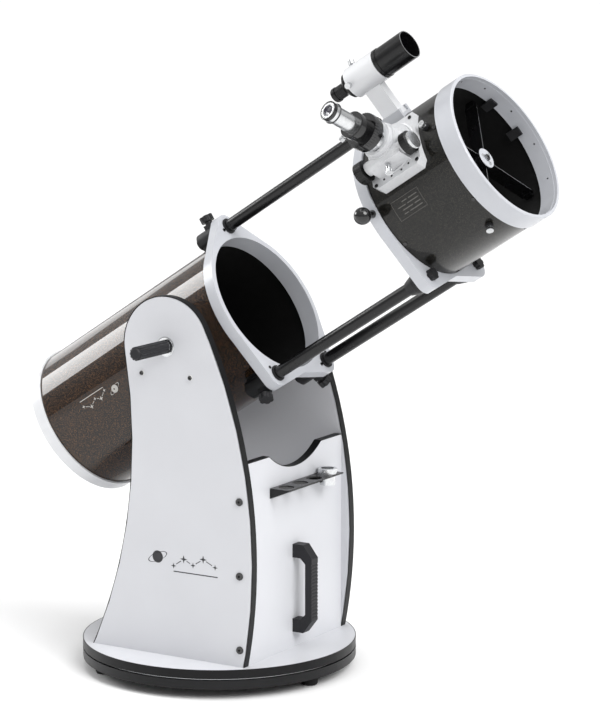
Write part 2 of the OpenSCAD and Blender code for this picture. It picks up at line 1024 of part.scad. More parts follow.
module vane_nuts() {
    color("#c9ccd0")
        tube_frame()
            for (a = vane_angles)
                around(a)
                    translate([hub_front - vane_depth / 2, 0, 0]) {
                        z_cyl(2.4, tube_in - 10, tube_radius + 6);
                        z_cyl(5.5, tube_radius + 0.3, tube_radius + 6);
                        z_cyl(3.6, tube_radius + 6, tube_radius + 9);
                        z_cyl(7, tube_radius + 9, tube_radius + 14);
                    }
}

module slant(offset) {
    around(focuser_angle)
        translate([focus_x, 0, 0])
            rotate([0, 45, 0])
                span([offset, -far / 10, -far / 10], [far / 10, far / 10, far / 10]);
}

module secondary_holder() {
    r = flat_diameter / 2 - 1.5;
    x1 = hub_front - vane_depth - 11;
    color("#232326")
        tube_frame()
            difference() {
                intersection() {
                    x_cyl(r, focus_x - 40, x1);
                    slant(8.3);
                }
                x_cyl(3.1, x1 - 20, x1 + 1);
            }
}

module secondary_mirror() {
    color("#d5dde2")
        tube_frame()
            difference() {
                intersection() {
                    x_cyl(flat_diameter / 2, focus_x - 60, focus_x + 70);
                    slant(0);
                }
                slant(8);
            }
}

module secondary_screws() {
    x1 = hub_front;
    x0 = x1 - vane_depth - 11;
    color("#b9bcc0")
        tube_frame() {
            x_cyl(3, x0 - 14, x1 + 2);
            x_cyl(6, x1 + 1.6, x1 + 5);
            for (a = [30 : 120 : 270])
                around(a)
                    translate([0, 0, 12]) {
                        x_cyl(2, x0 + 0.2, x1 + 2);
                        x_cyl(3.4, x1 + 1.6, x1 + 4.4);
                    }
        }
}

// ---------- focuser ----------

module focuser_frame() {
    tube_frame()
        around(focuser_angle)
            translate([focus_x, 0, 0])
                children();
}

module focuser_base() {
    color("#e6e7ea")
        focuser_frame()
            difference() {
                union() {
                    span([-58, -64, 120], [58, 50, flange_top]);
                    z_cyl(48, flange_top - 1, flange_top + 5);
                    z_cyl(draw_r + 9, flange_top + 4, tower_top);
                    z_cyl(draw_r + 5.5, tower_top - 1, collar_top);
                    span([-38, knob_y - 16, flange_top], [38, knob_y + 8, knob_z + 11]);
                    translate([0, knob_y, knob_z])
                        x_cyl(13.5, -46, 46);
                }
                translate([-focus_x, 0, 0])
                    x_cyl(tube_radius + seat_gap, focus_x - 80, focus_x + 80);
                z_cyl(draw_r + slide_clearance, 110, collar_top + 2);
                translate([0, knob_y, knob_z])
                    x_cyl(shaft_r + slide_clearance, -50, 50);
                translate([0, knob_y - 14.2, knob_z])
                    y_cyl(3 + slide_clearance, -20, 14);
                for (x = [-50, 50])
                    for (y = [-56, 42])
                        translate([x, y, 0])
                            z_cyl(2.6, 120, flange_top + 1);
                for (x = [-1, 1])
                    translate([x * 58, -64, 0])
                        rotate([0, 0, 45])
                            span([-7, -7, 110], [7, 7, flange_top + 10]);
            }
}

module focuser_drawtube() {
    color("#d6d8da")
        focuser_frame()
            difference() {
                z_cyl(draw_r, 148, draw_top);
                z_cyl(draw_r - 3.2, 147, draw_top + 1);
                span([-6, -draw_r - 1, 147], [6, -draw_r + 1.6, draw_top - 8]);
            }
}

module focuser_knobs() {
    w = focus_knob_span / 2;
    r = focus_knob_diameter / 2;
    color("#1a1a1c")
        focuser_frame()
            translate([0, knob_y, knob_z]) {
                x_cyl(shaft_r, -w + 4, w - 10);
                for (s = [-1, 1])
                    rotate([0, s * 90, 0])
                        translate([0, 0, w - 17 - (s > 0 ? 2.7 : 0)])
                            fluted(r, s > 0 ? 13.7 : 17, 30, 1.2);
                for (s = [-1, 1])
                    rotate([0, s * 90, 0])
                        translate([0, 0, 46.3])
                            cylinder(r = 9, h = w - 62);
            }
}

module fine_knob() {
    w = focus_knob_span / 2;
    color("#d2d4d7")
        focuser_frame()
            translate([0, knob_y, knob_z])
                rotate([0, 90, 0])
                    translate([0, 0, w - 5.7])
                        difference() {
                            fluted(focus_knob_diameter / 2 - 4, 7, 36, 0.8);
                            for (a = [0 : 120 : 240])
                                rotate([0, 0, a])
                                    translate([9.5, 0, 5])
                                        cylinder(r = 1.6, h = 3);
                        }
}

module focuser_lock_screw() {
    color("#c9ccd0")
        focuser_frame()
            translate([0, knob_y - 14.2, knob_z]) {
                y_cyl(3, -14, 9);
                y_cyl(5, -16, -3.2);
                translate([0, -16, 0])
                    rotate([90, 0, 0])
                        fluted(7, 7, 12, 1.3);
            }
}

module drawtube_clamp() {
    color("#161618")
        focuser_frame()
            difference() {
                union() {
                    z_cyl(draw_r + 7, draw_top, draw_top + 11);
                    translate([0, 0, draw_top + 10])
                        fluted(draw_r + 8, 12, 40, 1.4);
                    z_cyl(23, grip_top, cup_top - 13);
                    z_cyl(25.5, cup_top - 13, cup_top);
                }
                z_cyl(eye_r + slide_clearance, draw_top - 1, cup_top + 1);
                z_cyl(draw_r - 3, draw_top - 1, draw_top + 8);
                rotate([0, 0, 200])
                    translate([0, 0, cup_screw_z])
                        x_cyl(2.5 + slide_clearance, 10, 30);
                rotate([0, 0, 80])
                    translate([0, 0, cup_screw_z])
                        x_cyl(2, 14, 30);
            }
}

module eyepiece() {
    color("#c8cacd")
        focuser_frame()
            difference() {
                union() {
                    z_cyl(eye_r, grip_top, cup_top + 1);
                    z_cyl(eye_r + 1, cup_top, cup_top + 48);
                    z_cyl(eye_r + 2.6, cup_top + 48, cup_top + 56);
                    translate([0, 0, cup_top + 56])
                        cylinder(r1 = eye_r + 2.6, r2 = eye_r + 0.6, h = 7);
                }
                z_cyl(eye_r - 2, grip_top - 1, cup_top + 20);
                z_cyl(11, cup_top + 55, cup_top + 64);
            }
}

module eyepiece_lock_screw() {
    color("#d0d2d5")
        focuser_frame()
            rotate([0, 0, 200])
                translate([0, 0, cup_screw_z]) {
                    x_cyl(2.5, eye_r + 1.2, 29);
                    translate([28.5, 0, 0])
                        rotate([0, 90, 0])
                            fluted(5.5, 8, 12, 1);
                }
}

// ---------- finder ----------

module finder_frame() {
    tube_frame()
        around(finder_angle)
            children();
}

module finder_shoe() {
    color("#dcdde0")
        finder_frame()
            difference() {
                span([foot_mid - 24, -20, tube_radius - 4], [foot_mid + 24, 20, tube_radius + 17]);
                x_cyl(tube_radius + seat_gap, foot_mid - 30, foot_mid + 30, $fn = 180);
                translate([foot_mid - 25, 0, 0])
                    rotate([90, 0, 90])
                        linear_extrude(50)
                            polygon([[-14.2, tube_radius + 6], [14.2, tube_radius + 6],
                                [11.2, tube_radius + 18], [-11.2, tube_radius + 18]]);
                translate([foot_mid, 0, tube_radius + 11.5])
                    y_cyl(2.5, 10, 21);
            }
}

module finder_bracket() {
    color("#d6d7da")
        finder_frame()
            difference() {
                union() {
                    translate([foot_mid - 20, 0, 0])
                        rotate([90, 0, 90])
                            linear_extrude(40)
                                polygon([[-14.1, tube_radius + 6.1], [14.1, tube_radius + 6.1],
                                    [11.1, tube_radius + 18], [-11.1, tube_radius + 18]]);
                    span([foot_mid - 18, -11, tube_radius + 17.5],
                        [foot_mid + 18, 11, finder_reach - 26]);
                    translate([0, 0, finder_reach])
                        x_cyl(30, sleeve_back, sleeve_front);
                }
                translate([0, 0, finder_reach])
                    x_cyl(26.6, sleeve_back - 1, sleeve_front + 1);
                for (a = [0, 120, 240])
                    translate([sleeve_back + 9, 0, finder_reach])
                        rotate([a - 35, 0, 0])
                            z_cyl(2.6, 20, 32);
            }
}

module finder_tube() {
    r = dew_diameter / 2;
    b = sleeve_back;
    color("#1f1f21")
        finder_frame()
            translate([0, 0, finder_reach])
                difference() {
                    union() {
                        x_cyl(12.8, finder_back, b - 16);
                        x_cyl(14.6, finder_back + 3, finder_back + 9);
                        x_cone(16, 25, b - 17, b - 9);
                        x_cyl(25, b - 9, b - 1);
                        x_cyl(20, b - 2, sleeve_front + 2);
                        x_cyl(26.3, sleeve_front - 9, sleeve_front - 1);
                        x_cyl(r + 1.2, sleeve_front + 1, sleeve_front + 8);
                        x_cyl(r, sleeve_front + 8, finder_front);
                    }
                    x_cyl(r - 2.2, sleeve_front + 30, finder_front + 1);
                    x_cyl(17, b + 10, sleeve_front + 5);
                    x_cone(17, 23, sleeve_front + 4, sleeve_front + 31);
                    x_cyl(8, finder_back - 1, finder_back + 7);
                }
}

module finder_screws() {
    color("#c3c5c8")
        finder_frame()
            for (a = [0, 120, 240])
                translate([sleeve_back + 9, 0, finder_reach])
                    rotate([a - 35, 0, 0]) {
                        z_cyl(2.5, 20.2, 36);
                        if (a < 200)
                            translate([0, 0, 36])
                                fluted(6, 9, 10, 1.2);
                        if (a > 200)
                            z_cyl(5, 30.4, 47);
                    }
}

module tube_screws() {
    color("#111113")
        tube_frame()
            screw_places() {
                z_cyl(1.9, tube_in + 0.1, tube_radius + 0.1);
                z_cyl(3.6, tube_radius, tube_radius + 1.4);
            }
}

ground_board();
feet();
glide_pads();
azimuth_bolt();
azimuth_knob();
base_board();
glide_ring();
side_board_near();
side_board_far();
edge_bands();
front_board();
board_bolts();
bearing_posts();
eyepiece_rack();
rack_adapter();
carry_handle();
altitude_bearings();
altitude_handle_near();
altitude_handle_far();
lower_tube();
bottom_ring();
mirror_cell();
primary_mirror();
mirror_clips();
collimation_knob_a();
collimation_knob_b();
collimation_knob_c();
cell_lock_screws();
lower_ring();
rod_bushes();
clamp_blocks();
clamp_knob_top();
clamp_knob_near();
clamp_knob_far();
truss_rods();
rod_sleeves();
upper_ring();
rod_end_knobs();
ball_knob();
upper_tube();
top_ring();
ring_pads();
spider();
vane_nuts();
secondary_holder();
secondary_mirror();
secondary_screws();
focuser_base();
focuser_drawtube();
focuser_knobs();
fine_knob();
focuser_lock_screw();
drawtube_clamp();
eyepiece();
eyepiece_lock_screw();
finder_shoe();
finder_bracket();
finder_tube();
finder_screws();
tube_screws();
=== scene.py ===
import math

import bmesh
import bpy
from mathutils import Matrix, Vector


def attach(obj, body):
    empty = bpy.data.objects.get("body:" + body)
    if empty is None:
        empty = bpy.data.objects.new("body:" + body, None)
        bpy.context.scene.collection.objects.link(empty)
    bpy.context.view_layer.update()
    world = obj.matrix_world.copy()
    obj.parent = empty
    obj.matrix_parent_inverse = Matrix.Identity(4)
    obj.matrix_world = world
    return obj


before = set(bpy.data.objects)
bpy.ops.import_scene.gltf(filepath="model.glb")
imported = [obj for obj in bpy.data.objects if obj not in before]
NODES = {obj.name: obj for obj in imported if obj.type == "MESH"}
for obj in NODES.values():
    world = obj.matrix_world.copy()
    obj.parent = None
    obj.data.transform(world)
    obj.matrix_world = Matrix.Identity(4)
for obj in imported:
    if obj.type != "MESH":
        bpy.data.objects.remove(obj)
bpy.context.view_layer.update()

# ---------------------------------------------------------------- the tube's own frame
# s runs along the tube from the altitude axis, a is the angle around it in degrees,
# r the distance from its axis and t a sideways step.  Metres.
TILT = math.radians(32.6)
AXIS_X, AXIS_Z = 0.005, 0.673
AXIS = Vector((AXIS_X, 0.0, AXIS_Z))
ALONG = Vector((math.cos(TILT), 0.0, math.sin(TILT)))
ACROSS = Vector((-math.sin(TILT), 0.0, math.cos(TILT)))
SIDE = Vector((0.0, 1.0, 0.0))

# places along the tube
LOWER_RING_FRONT = 0.132
CAGE_FRONT = 0.7475
HUB_FRONT = 0.698
FOCUS_X = 0.608
FINDER_FRONT, FINDER_BACK = 0.7075, 0.5175
SLEEVE_FRONT = 0.636

# radii and angles around the tube
TUBE_R, TUBE_IN = 0.1504, 0.1492
RING_IN = 0.1459
FINDER_R = 0.254
FOCUS_A, FINDER_A = 148.0, 106.0
RODS = (90.0, 238.0, 302.0)
VANES = (55, 145, 235, 325)
HUB_SCREWS = (30, 150, 270)

# focuser heights above the tube axis
PLATE_TOP = 0.1600
TOWER_BAND, COLLAR_BAND = 0.1905, 0.2040
CUP_RIM, CUP_TOP = 0.2697, 0.2725

# rocker
BOARD_Y = 0.1925
BOLT_X = 0.172
BOLT_Z = (0.094, 0.240, 0.386)
POST_STEP, POST_DROP = 0.056, 0.05615
MARK_X, MARK_Z = 0.043, 0.252


def radial(a):
    a = math.radians(a)
    return SIDE * math.cos(a) + ACROSS * math.sin(a)


def tangent(a):
    a = math.radians(a)
    return SIDE * math.sin(a) - ACROSS * math.cos(a)


def at(s, a, r, t=0.0):
    return AXIS + ALONG * s + radial(a) * r + tangent(a) * t


def axes(origin, x, y, z):
    m = Matrix.Identity(4)
    for i, v in enumerate((x, y, z)):
        m.col[i][:3] = v
    m.translation = origin
    return m


def stand(s, a, r, t=0.0):
    """Local Z outward at angle a, local X along the tube."""
    return axes(at(s, a, r, t), ALONG, tangent(a), radial(a))


def along(s, a=90.0, r=0.0, t=0.0):
    """Local Z along the tube."""
    return axes(at(s, a, r, t), radial(a), tangent(a) * -1.0, ALONG)


def facing(origin, z, x_hint=Vector((0.0, 0.0, 1.0))):
    z = z.normalized()
    x = (x_hint - z * x_hint.dot(z)).normalized()
    return axes(origin, x, z.cross(x), z)


# ---------------------------------------------------------------- materials
def surface(name, base, second=None, spots=40.0, mix=0.5, rough=0.4, rough_spread=0.1,
            metallic=0.0, specular=0.5, coat=0.0, coat_rough=0.08, bump=0.0, bump_scale=600.0,
            stretch=(1.0, 1.0, 1.0), flakes=0.0, flake_scale=900.0, flake_colour=(0.6, 0.5, 0.4),
            sheen=0.0):
    m = bpy.data.materials.new(name)
    m.use_nodes = True
    nt = m.node_tree
    nt.nodes.clear()
    out = nt.nodes.new("ShaderNodeOutputMaterial")
    p = nt.nodes.new("ShaderNodeBsdfPrincipled")
    nt.links.new(p.outputs[0], out.inputs[0])
    p.inputs["Metallic"].default_value = metallic
    p.inputs["Specular IOR Level"].default_value = specular
    p.inputs["Coat Weight"].default_value = coat
    p.inputs["Coat Roughness"].default_value = coat_rough
    p.inputs["Sheen Weight"].default_value = sheen
    co = nt.nodes.new("ShaderNodeTexCoord")
    mp = nt.nodes.new("ShaderNodeMapping")
    mp.inputs["Scale"].default_value = stretch
    nt.links.new(co.outputs["Object"], mp.inputs["Vector"])
    n1 = nt.nodes.new("ShaderNodeTexNoise")
    n1.inputs["Scale"].default_value = spots
    n1.inputs["Detail"].default_value = 5.0
    nt.links.new(mp.outputs[0], n1.inputs["Vector"])
    ramp = nt.nodes.new("ShaderNodeMapRange")
    ramp.inputs["From Min"].default_value = 0.3
    ramp.inputs["From Max"].default_value = 0.7
    ramp.inputs["To Max"].default_value = mix
    nt.links.new(n1.outputs["Fac"], ramp.inputs["Value"])
    blend = nt.nodes.new("ShaderNodeMix")
    blend.data_type = "RGBA"
    second = second or tuple(c * 0.9 for c in base)
    blend.inputs[6].default_value = (*base, 1.0)
    blend.inputs[7].default_value = (*second, 1.0)
    nt.links.new(ramp.outputs[0], blend.inputs[0])
    colour = blend.outputs[2]
    if flakes:
        vo = nt.nodes.new("ShaderNodeTexVoronoi")
        vo.inputs["Scale"].default_value = flake_scale
        nt.links.new(co.outputs["Object"], vo.inputs["Vector"])
        sep = nt.nodes.new("ShaderNodeSeparateColor")
        nt.links.new(vo.outputs["Color"], sep.inputs[0])
        fr = nt.nodes.new("ShaderNodeMapRange")
        fr.inputs["From Min"].default_value = 1.0 - flakes
        fr.inputs["From Max"].default_value = 1.0
        fr.inputs["To Max"].default_value = 0.9
        nt.links.new(sep.outputs[0], fr.inputs["Value"])
        fm = nt.nodes.new("ShaderNodeMix")
        fm.data_type = "RGBA"
        fm.inputs[7].default_value = (*flake_colour, 1.0)
        nt.links.new(fr.outputs[0], fm.inputs[0])
        nt.links.new(colour, fm.inputs[6])
        colour = fm.outputs[2]
    nt.links.new(colour, p.inputs["Base Color"])
    rr = nt.nodes.new("ShaderNodeMapRange")
    rr.inputs["To Min"].default_value = max(rough - rough_spread, 0.02)
    rr.inputs["To Max"].default_value = rough + rough_spread
    nt.links.new(n1.outputs["Fac"], rr.inputs["Value"])
    nt.links.new(rr.outputs[0], p.inputs["Roughness"])
    if bump:
        n2 = nt.nodes.new("ShaderNodeTexNoise")
        n2.inputs["Scale"].default_value = bump_scale
        n2.inputs["Detail"].default_value = 3.0
        nt.links.new(mp.outputs[0], n2.inputs["Vector"])
        b = nt.nodes.new("ShaderNodeBump")
        b.inputs["Strength"].default_value = bump
        b.inputs["Distance"].default_value = 0.0006
        nt.links.new(n2.outputs["Fac"], b.inputs["Height"])
        nt.links.new(b.outputs[0], p.inputs["Normal"])
    return m


def srgb(r, g, b):
    def lin(c):
        c /= 255.0
        return c / 12.92 if c <= 0.04045 else ((c + 0.055) / 1.055) ** 2.4
    return (lin(r), lin(g), lin(b))


laminate = surface("laminate_white", srgb(205, 206, 210), srgb(198, 199, 203), 7.0, 0.5,
                   rough=0.42, rough_spread=0.05, specular=0.35, bump=0.10, bump_scale=900.0)
laminate_black = surface("laminate_black", srgb(18, 18, 19), srgb(25, 25, 27), 30.0, 0.5,
                         rough=0.38, specular=0.25, bump=0.12, bump_scale=700.0)
edging = surface("edge_band", srgb(15, 15, 16), srgb(22, 22, 24), 60.0, 0.5, rough=0.4,
                 specular=0.2, bump=0.15, bump_scale=500.0)
rubber = surface("rubber_foot", srgb(20, 20, 21), srgb(34, 34, 34), 50.0, 0.5, rough=0.75,
                 rough_spread=0.1, specular=0.25, bump=0.35, bump_scale=400.0)
nylon = surface("nylon_white", srgb(226, 226, 222), srgb(212, 212, 208), 60.0, 0.4, rough=0.35,
                specular=0.4, bump=0.08, bump_scale=500.0)
enamel = surface("enamel_white", srgb(192, 194, 199), srgb(184, 186, 192), 22.0, 0.5, rough=0.3,
                 rough_spread=0.06, specular=0.4, coat=0.25, coat_rough=0.12, bump=0.10,
                 bump_scale=420.0)
bracket_enamel = surface("enamel_finder", srgb(222, 223, 225), srgb(214, 215, 218), 40.0, 0.5,
                         rough=0.3, rough_spread=0.05, specular=0.4, coat=0.3, coat_rough=0.1,
                         bump=0.08, bump_scale=600.0)
focus_enamel = surface("enamel_focuser", srgb(206, 207, 209), srgb(190, 191, 194), 60.0, 0.5,
                       rough=0.28, rough_spread=0.06, specular=0.45, coat=0.35, coat_rough=0.1,
                       bump=0.10, bump_scale=700.0)
grained = surface("grained_black", srgb(24, 24, 26), srgb(34, 34, 36), 80.0, 0.5, rough=0.45,
                  rough_spread=0.08, specular=0.35, bump=0.45, bump_scale=1300.0)
grip = surface("handle_black", srgb(30, 30, 33), srgb(39, 39, 42), 120.0, 0.5, rough=0.5,
               rough_spread=0.08, specular=0.3, bump=0.3, bump_scale=900.0)
smooth_black = surface("gloss_black", srgb(16, 16, 17), srgb(26, 26, 27), 40.0, 0.4, rough=0.16,
                       rough_spread=0.06, specular=0.5, coat=0.4, coat_rough=0.05)
anodised = surface("anodised_black", srgb(13, 13, 14), srgb(21, 21, 22), 14.0, 0.5, rough=0.27,
                   rough_spread=0.07, specular=0.4, bump=0.05, bump_scale=300.0)
steel = surface("bright_steel", (0.66, 0.67, 0.68), (0.5, 0.51, 0.52), 90.0, 0.6, rough=0.22,
                rough_spread=0.08, metallic=1.0, bump=0.06, bump_scale=900.0,
                stretch=(1.0, 1.0, 5.0))
turned = surface("turned_aluminium", (0.78, 0.79, 0.80), (0.62, 0.63, 0.64), 160.0, 0.6,
                 rough=0.24, rough_spread=0.08, metallic=1.0, bump=0.08, bump_scale=1500.0)
bronze = surface("metallic_bronze", srgb(20, 15, 12), srgb(14, 11, 9), 26.0, 0.7, rough=0.4,
                 rough_spread=0.05, metallic=0.12, specular=0.05, coat=0.85, coat_rough=0.02,
                 flakes=0.16, flake_scale=1800.0, flake_colour=srgb(158, 112, 74))
cage_paint = surface("metallic_black", srgb(13, 13, 12), srgb(9, 9, 8), 26.0, 0.7, rough=0.4,
                     rough_spread=0.05, metallic=0.3, specular=0.1, coat=0.65, coat_rough=0.02,
                     flakes=0.18, flake_scale=1700.0, flake_colour=srgb(78, 74, 64))
flock = surface("flock_black", srgb(9, 9, 9), srgb(16, 16, 16), 300.0, 0.6, rough=0.85,
                rough_spread=0.1, specular=0.12, bump=0.5, bump_scale=1500.0, sheen=0.03)
glass_coat = surface("coated_lens", srgb(32, 20, 52), srgb(12, 10, 30), 30.0, 0.7, rough=0.05,
                     rough_spread=0.02, specular=0.8, coat=1.0, coat_rough=0.02)
mirror = surface("mirror_glass", (0.88, 0.9, 0.92), (0.85, 0.87, 0.9), 20.0, 0.3, rough=0.03,
                 rough_spread=0.01, metallic=1.0)
ink_dark = surface("ink_dark", srgb(52, 52, 55), srgb(66, 66, 69), 90.0, 0.5, rough=0.5,
                   specular=0.3)
ink_pale = surface("ink_pale", srgb(196, 193, 188), srgb(170, 168, 164), 90.0, 0.5, rough=0.4,
                   specular=0.4)
ink_grey = surface("ink_grey", srgb(104, 102, 98), srgb(84, 82, 78), 90.0, 0.5, rough=0.4,
                   specular=0.4)
# painted shade: a near-black colour for the shade inside the bolts' hex sockets
socket_shade = surface("painted_socket_shade", srgb(8, 8, 9), srgb(14, 14, 15), 90.0, 0.5, rough=0.6,
                 specular=0.2)


def collar(name, dark, bright, limit):
    """The bright look within the given distance of the middle plane, else the dark one."""
    m = dark.copy()
    m.name = name
    nt = m.node_tree
    p = next(n for n in nt.nodes if n.type == "BSDF_PRINCIPLED")
    out = next(n for n in nt.nodes if n.type == "OUTPUT_MATERIAL")
    q = nt.nodes.new("ShaderNodeBsdfPrincipled")
    q.inputs["Base Color"].default_value = (*bright, 1.0)
    q.inputs["Metallic"].default_value = 1.0
    q.inputs["Roughness"].default_value = 0.2
    co = nt.nodes.new("ShaderNodeTexCoord")
    sep = nt.nodes.new("ShaderNodeSeparateXYZ")
    size = nt.nodes.new("ShaderNodeMath")
    size.operation = "ABSOLUTE"
    less = nt.nodes.new("ShaderNodeMath")
    less.operation = "LESS_THAN"
    less.inputs[1].default_value = limit
    mix = nt.nodes.new("ShaderNodeMixShader")
    nt.links.new(co.outputs["Object"], sep.inputs[0])
    nt.links.new(sep.outputs["Y"], size.inputs[0])
    nt.links.new(size.outputs[0], less.inputs[0])
    nt.links.new(less.outputs[0], mix.inputs[0])
    nt.links.new(p.outputs[0], mix.inputs[1])
    nt.links.new(q.outputs[0], mix.inputs[2])
    nt.links.new(mix.outputs[0], out.inputs[0])
    return m


handle_look = collar("handle_and_washer", grip, (0.7, 0.71, 0.72), 0.1962)

LOOKS = {
    laminate: ("base_board", "side_board_near", "side_board_far", "front_board"),
    laminate_black: ("ground_board",),
    edging: ("edge_bands",),
    rubber: ("feet",),
    nylon: ("glide_pads", "bearing_posts", "altitude_bearings"),
    enamel: ("lower_ring", "upper_ring", "top_ring", "finder_shoe"),
    bracket_enamel: ("finder_bracket", "bottom_ring"),
    focus_enamel: ("focuser_base",),
    grained: ("azimuth_knob", "clamp_blocks", "rod_sleeves", "rod_bushes", "mirror_clips",
              "ring_pads", "clamp_knob_top", "clamp_knob_near", "clamp_knob_far",
              "rod_end_knobs", "cell_lock_screws"),
    grip: ("carry_handle",),
    handle_look: ("altitude_handle_near", "altitude_handle_far"),
    smooth_black: ("ball_knob", "board_bolts", "tube_screws", "drawtube_clamp"),
    anodised: ("eyepiece_rack", "truss_rods", "focuser_knobs", "spider", "secondary_holder",
               "finder_tube", "mirror_cell"),
    steel: ("glide_ring", "azimuth_bolt", "vane_nuts", "secondary_screws",
            "eyepiece_lock_screw", "finder_screws", "focuser_lock_screw",
            "collimation_knob_a", "collimation_knob_b", "collimation_knob_c"),
    turned: ("focuser_drawtube", "fine_knob", "eyepiece", "rack_adapter"),
    bronze: ("lower_tube",),
    cage_paint: ("upper_tube",),
    mirror: ("primary_mirror", "secondary_mirror"),
}
for look, names in LOOKS.items():
    for name in names:
        mesh = NODES[name].data
        mesh.materials.clear()
        mesh.materials.append(look)


# ---------------------------------------------------------------- mesh helpers
SHARP = math.radians(35.0)


def piece(name, bm, look, body):
    """Turn the mesh into an object that rides a body."""
    bmesh.ops.remove_doubles(bm, verts=bm.verts, dist=1e-6)
    bmesh.ops.recalc_face_normals(bm, faces=bm.faces)
    mesh = bpy.data.meshes.new(name)
    bm.to_mesh(mesh)
    bm.free()
    mesh.materials.append(look)
    ob = bpy.data.objects.new(name, mesh)
    bpy.context.scene.collection.objects.link(ob)
    for poly in mesh.polygons:
        poly.use_smooth = True
    mesh.set_sharp_from_angle(angle=SHARP)
    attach(ob, body)
    return ob


def lathe(bm, profile, seg=64, matrix=None, closed=True):
    """Revolve (radius, height) points around Z."""
    rings = []
    for r, z in profile:
        ring = []
        for i in range(seg):
            a = 2 * math.pi * i / seg
            ring.append(bm.verts.new((r * math.cos(a), r * math.sin(a), z)))
        rings.append(ring)
    pairs = list(zip(rings, rings[1:]))
    if closed:
        pairs.append((rings[-1], rings[0]))
    new = [v for ring in rings for v in ring]
    for lo, hi in pairs:
        for i in range(seg):
            j = (i + 1) % seg
            bm.faces.new((lo[i], lo[j], hi[j], hi[i]))
    if matrix is not None:
        bmesh.ops.transform(bm, matrix=matrix, verts=new)
    return new


def dome(bm, r, h, z=0.0, seg=32, rows=6, matrix=None, back=None):
    """A round cap, crowned by h, with an optional flat back."""
    top = bm.verts.new((0, 0, z + h))
    rings = []
    for k in range(1, rows + 1):
        f = k / rows
        ring = [bm.verts.new((r * f * math.cos(2 * math.pi * i / seg),
                              r * f * math.sin(2 * math.pi * i / seg),
                              z + h * (1 - f * f))) for i in range(seg)]
        rings.append(ring)
    for i in range(seg):
        bm.faces.new((top, rings[0][i], rings[0][(i + 1) % seg]))
    for a, b in zip(rings, rings[1:]):
        for i in range(seg):
            j = (i + 1) % seg
            bm.faces.new((a[i], b[i], b[j], a[j]))
    new = [top] + [v for ring in rings for v in ring]
    if back is not None:
        low = [bm.verts.new((v.co.x, v.co.y, z - back)) for v in rings[-1]]
        for i in range(seg):
            j = (i + 1) % seg
            bm.faces.new((rings[-1][i], low[i], low[j], rings[-1][j]))
        bm.faces.new(list(reversed(low)))
        new += low
    if matrix is not None:
        bmesh.ops.transform(bm, matrix=matrix, verts=new)
    return new


def screw_head(bm, matrix, r, h):
    """A low cap head with a sunk six-sided drive."""
    seg, socket, drive = 24, 0.45, 6
    prof = [(r, 0.0), (r, h * 0.6), (r * 0.86, h), (r * socket * 1.12, h)]
    rings = []
    new = []
    for pr, pz in prof:
        ring = [bm.verts.new((pr * math.cos(2 * math.pi * i / seg),
                              pr * math.sin(2 * math.pi * i / seg), pz)) for i in range(seg)]
        rings.append(ring)
        new += ring
    for a, b in zip(rings, rings[1:]):
        for i in range(seg):
            j = (i + 1) % seg
            bm.faces.new((a[i], a[j], b[j], b[i]))
    bm.faces.new(list(reversed(rings[0])))

    def corner(i):
        t = 2 * math.pi * i / seg
        k = math.pi / drive
        return r * socket * math.cos(k) / math.cos(((t + k) % (2 * k)) - k)
    inner = [bm.verts.new((corner(i) * math.cos(2 * math.pi * i / seg),
                           corner(i) * math.sin(2 * math.pi * i / seg), h)) for i in range(seg)]
    deep = [bm.verts.new((v.co.x, v.co.y, h * 0.25)) for v in inner]
    new += inner + deep
    for a, b in ((rings[-1], inner), (inner, deep)):
        for i in range(seg):
            j = (i + 1) % seg
            bm.faces.new((a[i], a[j], b[j], b[i]))
    bm.faces.new(deep)
    bmesh.ops.transform(bm, matrix=matrix, verts=new)
    return new


def slab(bm, x, y, z, matrix):
    """A box between (lo, hi) pairs."""
    vs = [bm.verts.new((a, b, c)) for a in x for b in y for c in z]
    for f in ((0, 1, 3, 2), (4, 6, 7, 5), (0, 4, 5, 1), (2, 3, 7, 6), (0, 2, 6, 4), (1, 5, 7, 3)):
        bm.faces.new([vs[i] for i in f])
    bmesh.ops.transform(bm, matrix=matrix, verts=vs)


# ---------------------------------------------------------------- dark linings inside the tubes
FOCUS_HOLE = 0.034


def lining(name, s0, s1, body, skip=None):
    """A flocked skin just inside the tube wall, left open around skip."""
    bm = bmesh.new()
    seg, rows = 120, 12
    grid = []
    for k in range(rows + 1):
        s = s0 + (s1 - s0) * k / rows
        grid.append([bm.verts.new(at(s, 360.0 * i / seg, TUBE_IN - 0.0001)) for i in range(seg)])
    for a, b in zip(grid, grid[1:]):
        for i in range(seg):
            j = (i + 1) % seg
            quad = (a[i], b[i], b[j], a[j])
            mid = sum((v.co for v in quad), Vector()) / 4
            if skip is None or (mid - skip).length > FOCUS_HOLE:
                bm.faces.new(quad)
    bmesh.ops.delete(bm, geom=[v for v in bm.verts if not v.link_faces], context="VERTS")
    piece(name, bm, flock, body)


lining("lower_lining", -0.383, 0.096, "tube")
lining("upper_lining", 0.5425, 0.7072, "cage", at(FOCUS_X, FOCUS_A, TUBE_IN))


# ---------------------------------------------------------------- emblems, all generic
def strip(bm, f, p, q, w, n=10):
    """A flat bar from p to q mapped by f."""
    p, q = Vector(p), Vector(q)
    d = (q - p).normalized()
    side = Vector((-d.y, d.x)) * w / 2
    last = None
    for k in range(n + 1):
        c = p.lerp(q, k / n)
        row = (bm.verts.new(f(*(c + side))), bm.verts.new(f(*(c - side))))
        if last:
            bm.faces.new((last[0], last[1], row[1], row[0]))
        last = row


